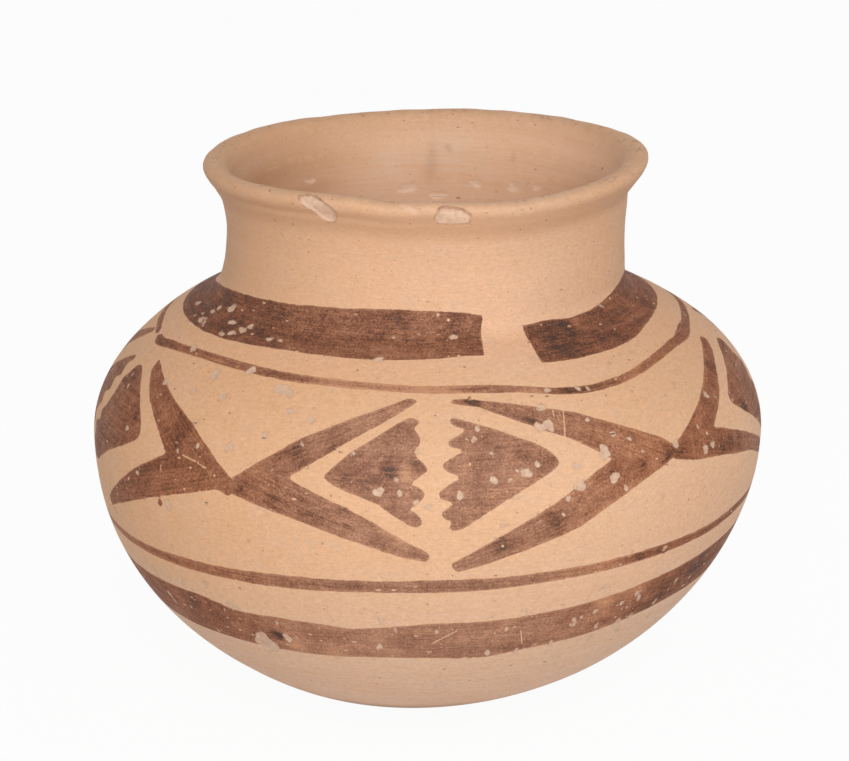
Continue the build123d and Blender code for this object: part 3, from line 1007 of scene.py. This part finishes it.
def finish_ring(node, section, material):
    """Makes one clay ring: turns it, shapes it by hand, paints and wears it, and puts it in the frame."""
    ring = turn_ring(node, section)
    mesh = ring.data
    places = read_places(mesh, mesh.vertices, "co")
    station = nearest_stations(places, section)
    outside = station <= crest_index
    angle = np.degrees(np.arctan2(places[:, 0], -places[:, 1]))
    layers, cut = paint_and_wear(angle, wall_along[station], outside, node == "rim_coil")

    places = shape_by_hand(places, outside)
    move_points(mesh, places)
    normals = read_places(mesh, mesh.vertex_normals, "vector")
    move_points(mesh, places - normals * (cut * MM)[:, None])

    for name, values in layers.items():
        give_attribute(mesh, name, values)
    mesh.materials.clear()
    mesh.materials.append(material)
    bpy.ops.object.select_all(action="DESELECT")
    ring.select_set(True)
    bpy.context.view_layer.objects.active = ring
    bpy.ops.object.shade_smooth_by_angle(angle=SMOOTH_ANGLE)
    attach(ring, "root")
    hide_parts(node)


# Material

def put(kind, inputs, **settings):
    """Adds a node, and fills its inputs with the outputs that feed it or with values."""
    feeds = {key: value for key, value in inputs.items() if isinstance(value, bpy.types.NodeSocket)}
    tree = next(iter(feeds.values())).id_data
    made = tree.nodes.new(kind)
    for key, value in settings.items():
        setattr(made, key, value)
    for key, value in inputs.items():
        if key in feeds:
            tree.links.new(value, made.inputs[key])
        else:
            made.inputs[key].default_value = value
    return made


def figure(operation, *values):
    """Output of a Math node."""
    return put("ShaderNodeMath", dict(enumerate(values)), operation=operation).outputs[0]


def times(*values):
    """Product of values, as of masks that hold together."""
    return functools.reduce(lambda product, value: figure("MULTIPLY", product, value), values)


def most(*values):
    """Largest of values."""
    return functools.reduce(lambda largest, value: figure("MAXIMUM", largest, value), values)


def heaped(start, *added):
    """A start with other values added to it, each times its weight."""
    for value, weight in added:
        start = figure("MULTIPLY_ADD", value, weight, start)
    return start


def away_from(value, middle):
    """How far a value is from a middle one, to either side."""
    return figure("ABSOLUTE", figure("SUBTRACT", value, middle))


def blend(share, first, second, kind="MIX"):
    """Output of a colour Mix node."""
    made = put("ShaderNodeMix", {0: share, 6: first, 7: second}, data_type="RGBA", blend_type=kind)
    return made.outputs[2]


def coats(ground, *layers):
    """Colours laid over a ground one after another, each with the share of it that shows."""
    for share, tone in layers:
        ground = blend(share, ground, tone)
    return ground


def fade(value, low, high, start=0.0, end=1.0):
    """Smooth step from a start to an end, as a value goes from a low to a high limit."""
    inputs = {"Value": value, "From Min": low, "From Max": high, "To Min": start, "To Max": end}
    return put("ShaderNodeMapRange", inputs, interpolation_type="SMOOTHSTEP").outputs["Result"]


def noise(vector, scale, detail=3.0, roughness=0.55):
    """Value of a noise texture."""
    inputs = {"Vector": vector, "Scale": scale, "Detail": detail, "Roughness": roughness}
    return put("ShaderNodeTexNoise", inputs).outputs["Fac"]


def centred(value):
    """A noise's value less its middle."""
    return figure("SUBTRACT", value, 0.5)


def stretched(vector, scale):
    """A vector with its axes scaled."""
    return put("ShaderNodeMapping", {"Vector": vector, "Scale": scale}).outputs["Vector"]


def split(vector):
    """The three parts of a vector."""
    return put("ShaderNodeSeparateXYZ", {"Vector": vector}).outputs


def stored(tree, name, kind="Fac"):
    """A value or vector stored at the points."""
    made = tree.nodes.new("ShaderNodeAttribute")
    made.attribute_type = "GEOMETRY"
    made.attribute_name = name
    return made.outputs[kind]


def specks(vector, scale, size, share, softness=0.06):
    """Mask of scattered round specks: size in their cell, share of cells that have one, and soft edge."""
    cells = put("ShaderNodeTexVoronoi", {"Vector": vector, "Scale": scale}, feature="F1")
    chosen = put("ShaderNodeSeparateColor", {"Color": cells.outputs["Color"]})
    own_size = times(chosen.outputs["Green"], size)
    inside = figure("SUBTRACT", own_size, cells.outputs["Distance"])
    picked = figure("LESS_THAN", chosen.outputs["Red"], share)
    return times(fade(inside, 0.0, softness), picked)


def colour(red, green, blue):
    """An opaque colour."""
    return (red, green, blue, 1.0)


CLAY_LIGHT = colour(0.79, 0.49, 0.315)
CLAY_BRIGHT = colour(0.86, 0.53, 0.34)
CLAY_GOLD = colour(1.0, 0.985, 0.945)
CLAY_WARM = colour(0.75, 0.425, 0.235)
CLAY_PINK = colour(0.74, 0.46, 0.31)
CLAY_PALE = colour(0.76, 0.51, 0.352)
CLAY_TAN = colour(0.60, 0.34, 0.19)
CLAY_GREY = colour(0.56, 0.43, 0.335)
CLAY_INNER = colour(0.52, 0.28, 0.15)
# Dark brown for specks and soot, and for painted shade at the foot, on chip ledges and along broken edges
SPECK_AND_SHADE_BROWN = colour(0.30, 0.14, 0.075)
SPECK_DARK = colour(0.13, 0.064, 0.037)
BARE_PASTE = colour(0.62, 0.41, 0.29)
BARE_PALE = colour(0.79, 0.545, 0.395)
MARK_PALE = colour(0.93, 0.68, 0.52)
PAINT_THIN = colour(0.56, 0.28, 0.158)
PAINT_RED = colour(0.39, 0.182, 0.107)
PAINT_BROWN = colour(0.262, 0.107, 0.058)
PAINT_DARK = colour(0.148, 0.061, 0.037)
PAINT_BLACK = colour(0.07, 0.042, 0.034)
PAINT_WARMTH = colour(1.0, 0.86, 0.74)
# Tones of the paint between the thinnest and the blackest, as (load, tone)
PAINT_TONES = [(0.3, PAINT_RED), (0.58, PAINT_BROWN), (0.82, PAINT_DARK)]


def lay_clay(tree, place, wiping, fine, lip):
    """Colour of the slipped clay: clouds, wiping marks, greyed film, specks, painted light and shade, and its
    pits.
    """
    side, _, height = split(place)
    broad = noise(place, 0.016)
    cloudy = noise(place, 0.06, 5.0, 0.62)
    mottled = noise(place, 0.26, 5.0, 0.68)
    grainy = noise(stretched(place, (0.4, 0.4, 1.0)), 1.5, 2.0, 0.6)

    # Warmer to the left and over the right shoulder, painted light on the right flank, paler towards the foot
    warm_side = fade(side, 45.0, -75.0, 0.0, 0.8)
    warmth = figure("ADD", warm_side, fade(broad, 0.34, 0.66, 0.0, 0.2))
    warm_shoulder = times(fade(side, 25.0, 60.0, 0.0, 0.6), fade(height, 86.0, 104.0))
    clay = coats(
        CLAY_LIGHT,
        (warmth, CLAY_WARM),
        (warm_shoulder, CLAY_WARM),
        # Painted light along the right flank, strongest towards its edge
        (fade(side, 76.0, 98.0, 0.0, 0.9), CLAY_BRIGHT),
    )
    golden = times(fade(height, 62.0, 74.0), fade(height, 120.0, 110.0))
    clay = blend(golden, clay, CLAY_GOLD, "MULTIPLY")
    clay = coats(
        clay,
        (fade(height, 64.0, 36.0, 0.0, 0.85), CLAY_PALE),
        (fade(height, 36.0, 12.0, 0.0, 0.7), BARE_PALE),
        # Painted contact shadow along the very foot, where the jar meets the floor
        (fade(height, 11.4, 7.4, 0.0, 0.6), SPECK_AND_SHADE_BROWN),
        (fade(cloudy, 0.45, 0.72, 0.0, 0.4), CLAY_PINK),
        (fade(wiping, 0.35, 0.7, 0.0, 0.3), CLAY_WARM),
        (fade(mottled, 0.5, 0.78, 0.0, 0.5), CLAY_LIGHT),
        (fade(mottled, 0.46, 0.28, 0.0, 0.3), CLAY_TAN),
    )
    grain = heaped(0.57, (fine, 0.24), (grainy, 0.3), (noise(place, 2.4, 1.0, 0.5), 0.28))
    clay = blend(1.0, clay, grain, "MULTIPLY")

    # Greyed film; the neck darker towards the lip and to the left; and a painted shade under the lip's
    # overhang
    film = fade(noise(place, 0.13, 6.0, 0.72), 0.58, 0.72, 0.0, 0.35)
    # Painted shade under the lip, where its overhang shades the neck
    painted_shade_under_lip = fade(away_from(lip, -10.0), 7.0, 1.0, 0.0, 0.48)
    neck_dark_and_lip_shade = figure("ADD", painted_shade_under_lip, fade(lip, -42.0, -20.0, 0.0, 0.14))
    neck_dark_and_lip_shade = times(neck_dark_and_lip_shade, fade(lip, -2.0, -6.0))
    neck_left = times(fade(lip, -44.0, -36.0), fade(side, -15.0, -62.0, 0.0, 0.4))

    # Inside the neck: pale clouds, a stain to the left, brighter to the right, painted light low down,
    # smudges and drips
    within = fade(lip, 3.0, 16.0)
    pale_within = times(within, fade(cloudy, 0.4, 0.62, 0.4, 0.9))
    stained = times(within, fade(side, -10.0, -52.0, 0.0, 0.95))
    bright_within = times(fade(lip, 1.0, 8.0), fade(side, 5.0, 45.0, 0.0, 0.8))
    smudged = times(fade(wiping, 0.4, 0.68, 0.0, 0.5), fade(mottled, 0.4, 0.6))
    clay = coats(
        clay,
        (film, CLAY_GREY),
        (neck_dark_and_lip_shade, CLAY_TAN),
        (neck_left, CLAY_TAN),
        (pale_within, CLAY_PALE),
        (stained, CLAY_INNER),
        (bright_within, CLAY_BRIGHT),
        # Painted light low down inside the neck
        (fade(lip, 14.0, 24.0, 0.0, 0.3), CLAY_BRIGHT),
        (times(within, smudged), CLAY_WARM),
        (times(within, stored(tree, "paint_soot")), SPECK_AND_SHADE_BROWN),
    )

    # Specks and pits
    blurs = specks(place, 0.14, 0.17, 0.4, 0.12)
    grains = specks(place, 0.8, 0.24, 0.4)
    iron = specks(place, 0.21, 0.13, 0.25)
    dashes = specks(stretched(place, (0.35, 0.35, 1.0)), 0.6, 0.2, 0.12)
    pits = times(specks(place, 0.42, 0.18, 0.16), fade(lip, 3.0, 8.0, 1.0, 0.3))
    clay = coats(
        clay,
        (times(blurs, 0.28), SPECK_AND_SHADE_BROWN),
        (times(grains, 0.42), SPECK_AND_SHADE_BROWN),
        (times(iron, 0.55), SPECK_AND_SHADE_BROWN),
        (times(dashes, 0.6), SPECK_DARK),
        (times(pits, 0.6), SPECK_DARK),
    )
    return clay, pits


def brush_load(tree, place, depth):
    """How heavily the paint lies, with its brush marks, pools, blots, grain, soot and thin edges."""
    stroke = stored(tree, "brush_stroke", "Vector")
    hairs = noise(stretched(stroke, (0.06, 1.7, 1.0)), 1.0, 2.0, 0.6)
    sweeps = noise(stretched(stroke, (0.02, 0.3, 1.0)), 1.0, 2.0)
    smears = noise(stretched(stroke, (0.22, 1.3, 1.0)), 1.0, 5.0, 0.7)
    brushing = figure("SUBTRACT", heaped(hairs, (sweeps, 0.5)), 0.75)
    brushing = times(brushing, stored(tree, "paint_streaks"))
    pools = centred(noise(place, 0.11, 5.0, 0.65))
    blots = centred(noise(place, 0.45, 4.0, 0.65))
    grain = centred(noise(stretched(stroke, (1.1, 1.9, 1.0)), 1.0, 1.0, 0.5))
    speckle = centred(noise(place, 2.0, 1.0, 0.5))
    smeared = fade(smears, 0.36, 0.64, 0.15, 1.1)
    load = heaped(
        stored(tree, "paint_load"),
        (brushing, 0.85),
        (pools, 0.9),
        (blots, 0.6),
        (grain, 0.6),
        (speckle, 0.8),
        (stored(tree, "paint_soot"), smeared),
    )
    thin_edge = times(fade(depth, 1.0, 0.2), fade(pools, -0.06, 0.08, 0.0, 0.22))
    return figure("SUBTRACT", load, thin_edge)


def wear_paint(tree, place, height, ragged):
    """Share of the paint that rubbing, nicks and scratches have taken, and that of the nicks alone."""
    rubbed = fade(noise(place, 0.42, 6.0, 0.75), 0.64, 0.72, 0.0, 0.7)
    pocks = specks(place, 0.34, 0.2, 0.2)
    flecks = times(specks(place, 0.8, 0.24, 0.1), 0.8)
    scuffed = heaped(noise(place, 0.06), (fade(height, 62.0, 46.0), 0.14))
    scuffs = specks(stretched(place, (0.4, 0.4, 1.0)), 0.75, 0.3, 0.4)
    scuffs = times(scuffs, fade(scuffed, 0.47, 0.61, 0.0, 0.85))
    nicks = most(pocks, flecks, scuffs)
    beside, along, _ = split(stored(tree, "scratch_frame", "Vector"))
    across = figure("ABSOLUTE", heaped(beside, (ragged, 1.4)))
    midway = away_from(along, 0.5)
    scratched = times(fade(across, 0.32, 0.1, 0.0, 0.85), fade(midway, 0.52, 0.4))
    return most(rubbed, nicks, scratched), nicks


def brush_paint(tree, place, ragged):
    """Colour of the brushed paint, how much of the clay it still covers, and the nicks in it."""
    side, _, height = split(place)
    wavering = heaped(-0.35, (noise(place, 0.22, 2.0), 0.7))
    depth = figure("ADD", stored(tree, "paint_depth"), wavering)
    depth = heaped(depth, (ragged, 0.5))
    lost, nicks = wear_paint(tree, place, height, ragged)
    cover = times(fade(depth, -0.14, 0.2), figure("SUBTRACT", 1.0, lost))

    ramp = put("ShaderNodeValToRGB", {"Fac": brush_load(tree, place, depth)})
    stops = ramp.color_ramp.elements
    stops[0].color = PAINT_THIN
    stops[1].color = PAINT_BLACK
    for load, tone in PAINT_TONES:
        stops.new(load).color = tone

    # Greyer low at the front, warmer to the sides
    sideways = figure("ABSOLUTE", side)
    greyed = times(fade(sideways, 45.0, 15.0, 0.0, 0.06), fade(height, 114.0, 106.0))
    paint = blend(greyed, ramp.outputs["Color"], CLAY_GREY)
    warmed = times(fade(sideways, 30.0, 72.0, 0.0, 0.85), fade(sideways, 97.0, 82.0))
    paint = blend(warmed, paint, PAINT_WARMTH, "MULTIPLY")
    return paint, cover, nicks


def hairlines(tree, place, lip):
    """Mask of short level cracks in the sooty places outside and along the crest of the lip."""
    level = noise(stretched(place, (0.07, 0.07, 0.34)), 1.0, 3.0, 0.6)
    line = fade(away_from(level, 0.5), 0.03, 0.012)
    broken = fade(noise(place, 0.4), 0.48, 0.58)
    sooty = fade(stored(tree, "paint_soot"), 0.08, 0.35, 0.0, 0.75)
    sooty = times(sooty, fade(lip, 0.0, -4.0))
    crest = fade(away_from(lip, 0.8), 2.4, 1.0, 0.0, 0.55)
    return times(line, broken, most(sooty, crest))


def chips_grime_and_shade(tree, place, surface, ragged, lip):
    """Colour with flakes, chips, lip grime and painted edge shade, then masks of bare clay, its grit and the
    lip's pits.
    """
    depth = heaped(stored(tree, "bare_depth"), (ragged, 1.5))
    shown = stored(tree, "bare_shown")
    bare = times(fade(depth, -0.15, 0.3), shown)
    grit = noise(place, 0.7, 5.0, 0.7)
    on_clay = times(fade(shown, 0.8, 0.65, 0.0, 0.5), fade(shown, 0.52, 0.62))
    paste = coats(
        BARE_PASTE,
        (fade(grit, 0.35, 0.65), BARE_PALE),
        (on_clay, CLAY_GREY),
        (fade(shown, 0.5, 0.46), MARK_PALE),
    )
    # Painted shade along the broken edges of flakes and chips
    painted_edge_shade = times(
        fade(depth, -0.6, -0.1),
        fade(depth, 0.5, 0.0),
        fade(noise(place, 0.7), 0.4, 0.6, 0.0, 0.6),
        fade(shown, 0.5, 0.8, 0.0, 0.85),
    )
    # Painted shade on the ledge at the top of each chip in the lip
    chip_ledge_shade = times(
        fade(depth, -0.35, 0.0),
        fade(depth, 0.5, 0.1),
        fade(lip, -4.6, -3.0, 0.0, 0.6),
        fade(lip, 2.0, 0.0),
    )
    # Over the crest, painted shade that tones down the light on the lip's top; along its inner edge, dirt
    crest = fade(away_from(lip, -1.0), 7.0, 2.0)
    inner_edge = times(fade(lip, -1.5, 2.0), fade(lip, 11.0, 5.0))
    grime_and_crest_shade = heaped(times(crest, 0.4), (inner_edge, 0.3))
    grime_and_crest_shade = times(grime_and_crest_shade, fade(noise(place, 0.25, 5.0, 0.65), 0.3, 0.65, 0.5, 1.15))
    lip_pits = specks(stretched(place, (0.55, 0.55, 1.0)), 0.9, 0.28, 0.4)
    lip_pits = times(lip_pits, fade(figure("ABSOLUTE", lip), 5.5, 1.5))
    surface = coats(
        surface,
        (grime_and_crest_shade, CLAY_TAN),
        (times(lip_pits, 0.65), SPECK_AND_SHADE_BROWN),
        (painted_edge_shade, SPECK_AND_SHADE_BROWN),
        (bare, paste),
        (times(chip_ledge_shade, shown), SPECK_AND_SHADE_BROWN),
    )
    return surface, bare, grit, lip_pits


def painted_clay():
    """Slipped and polished clay with brushed mineral paint, flakes, specks and wear."""
    material = bpy.data.materials.new("painted_clay")
    material.use_nodes = True
    tree = material.node_tree
    shader = tree.nodes["Principled BSDF"]
    metres = tree.nodes.new("ShaderNodeTexCoord").outputs["Object"]
    place = put("ShaderNodeVectorMath", {0: metres, "Scale": 1 / MM}, operation="SCALE").outputs[0]
    fine = noise(place, 0.95, 5.0, 0.68)
    wiping = noise(stretched(place, (0.035, 0.035, 0.8)), 1.0, 4.0, 0.6)
    ragged = heaped(-0.25, (noise(place, 1.6), 0.5))
    lip = stored(tree, "lip_distance")
    clay, pits = lay_clay(tree, place, wiping, fine, lip)
    paint, cover, nicks = brush_paint(tree, place, ragged)
    surface = coats(clay, (cover, paint), (hairlines(tree, place, lip), SPECK_DARK))
    surface, bare, grit, lip_pits = chips_grime_and_shade(tree, place, surface, ragged, lip)
    tree.links.new(surface, shader.inputs["Base Color"])

    # Sheen of the polish, which the paint has less of, lost where the clay is bare
    rough = heaped(fade(wiping, 0.3, 0.7, 0.58, 0.7), (bare, 0.25))
    tree.links.new(rough, shader.inputs["Roughness"])
    sheen = heaped(0.3, (cover, -0.17))
    tree.links.new(sheen, shader.inputs["Specular IOR Level"])

    # Relief
    relief = heaped(
        times(fine, 0.2),
        (wiping, 0.6),
        (cover, 0.15),
        (pits, -0.8),
        (nicks, -0.3),
        (lip_pits, -1.2),
        (times(bare, grit), 1.4),
    )
    bump = put("ShaderNodeBump", {"Height": relief, "Strength": 0.7, "Distance": 0.2 * MM})
    tree.links.new(bump.outputs["Normal"], shader.inputs["Normal"])
    return material


clay_material = painted_clay()
for ring_name, ring_section in sections.items():
    finish_ring(ring_name, ring_section, clay_material)


# Stage

PLAIN_WHITE = colour(1.0, 1.0, 1.0)
FLOOR_SIZE = 8.0
FLOOR_WHITE = colour(0.93, 0.93, 0.93)
FLOOR_ROUGHNESS = 0.9
FLOOR_SHEEN = 0.1
FLOOR_GLOW = 0.95           # share of plain white in the floor that the camera sees
AIR_LIGHT = 0.4             # strength of the even light from all round
KEY_PLACE = (0.12, -1.57, 0.92)
KEY_AIM = (0.0, 0.0, 0.5 * CREST_Z)
KEY_SIZE = 0.9
KEY_POWER = 19.4


def seen_directly(tree):
    """One for what the camera sees itself or in a reflection, zero for light on the jar."""
    path = tree.nodes.new("ShaderNodeLightPath").outputs
    return most(path["Is Camera Ray"], path["Is Glossy Ray"], path["Is Transmission Ray"])


def make_floor():
    """A plain white floor that keeps a soft shadow of the jar."""
    bpy.ops.object.select_all(action="DESELECT")
    bpy.ops.mesh.primitive_plane_add(size=FLOOR_SIZE, location=(0, 0, 0))
    floor = bpy.context.object
    floor.name = "studio_floor"
    material = bpy.data.materials.new("studio_white")
    material.use_nodes = True
    tree = material.node_tree
    shader = tree.nodes["Principled BSDF"]
    shader.inputs["Base Color"].default_value = FLOOR_WHITE
    shader.inputs["Roughness"].default_value = FLOOR_ROUGHNESS
    shader.inputs["Specular IOR Level"].default_value = FLOOR_SHEEN
    glow = tree.nodes.new("ShaderNodeEmission")
    glow.inputs["Color"].default_value = PLAIN_WHITE
    glow.inputs["Strength"].default_value = 1.0
    share = times(seen_directly(tree), FLOOR_GLOW)
    both = {0: share, 1: shader.outputs["BSDF"], 2: glow.outputs["Emission"]}
    mixed = put("ShaderNodeMixShader", both)
    tree.links.new(mixed.outputs["Shader"], tree.nodes["Material Output"].inputs["Surface"])
    floor.data.materials.append(material)


def make_air():
    """Even white surroundings, which the camera sees as plain white."""
    world = bpy.data.worlds.new("studio_air")
    bpy.context.scene.world = world
    world.use_nodes = True
    tree = world.node_tree
    background = tree.nodes["Background"]
    background.inputs["Color"].default_value = PLAIN_WHITE
    level = heaped(AIR_LIGHT, (seen_directly(tree), 1.0 - AIR_LIGHT))
    tree.links.new(level, background.inputs["Strength"])


def make_softbox():
    """A square soft light from the front and above, aimed at the middle of the jar."""
    lamp = bpy.data.lights.new("key_softbox", "AREA")
    lamp.shape = "SQUARE"
    lamp.size = KEY_SIZE
    lamp.energy = KEY_POWER
    holder = bpy.data.objects.new("key_softbox", lamp)
    bpy.context.scene.collection.objects.link(holder)
    direction = np.array(KEY_AIM) - np.array(KEY_PLACE)
    tilt = math.acos(-direction[2] / np.linalg.norm(direction))
    heading = math.atan2(direction[0], -direction[1]) + math.pi
    holder.location = KEY_PLACE
    holder.rotation_euler = (tilt, 0.0, heading)


# Camera fitted to the photograph, in metres and radians, with its focal length in the photograph's pixels
CAMERA_DISTANCE = 1.0
CAMERA_ELEVATION = math.radians(16.03)
CAMERA_AIM_Z = 92.68 * MM
CAMERA_SIDE = -0.45 * MM
FOCAL_PIXELS = 3338.2
IMAGE_WIDTH = 849
SENSOR_WIDTH = 36.0


def make_camera():
    """Camera at the photograph's viewing angle."""
    lens = bpy.data.cameras.new("photo_camera")
    lens.sensor_width = SENSOR_WIDTH
    lens.lens = FOCAL_PIXELS * SENSOR_WIDTH / IMAGE_WIDTH
    camera = bpy.data.objects.new("photo_camera", lens)
    bpy.context.scene.collection.objects.link(camera)
    back = CAMERA_DISTANCE * math.cos(CAMERA_ELEVATION)
    rise = CAMERA_DISTANCE * math.sin(CAMERA_ELEVATION)
    camera.location = (CAMERA_SIDE, -back, CAMERA_AIM_Z + rise)
    camera.rotation_euler = (math.pi / 2 - CAMERA_ELEVATION, 0.0, 0.0)
    bpy.context.scene.camera = camera


make_floor()
make_air()
make_softbox()
make_camera()
bpy.context.scene.view_settings.view_transform = "Standard"
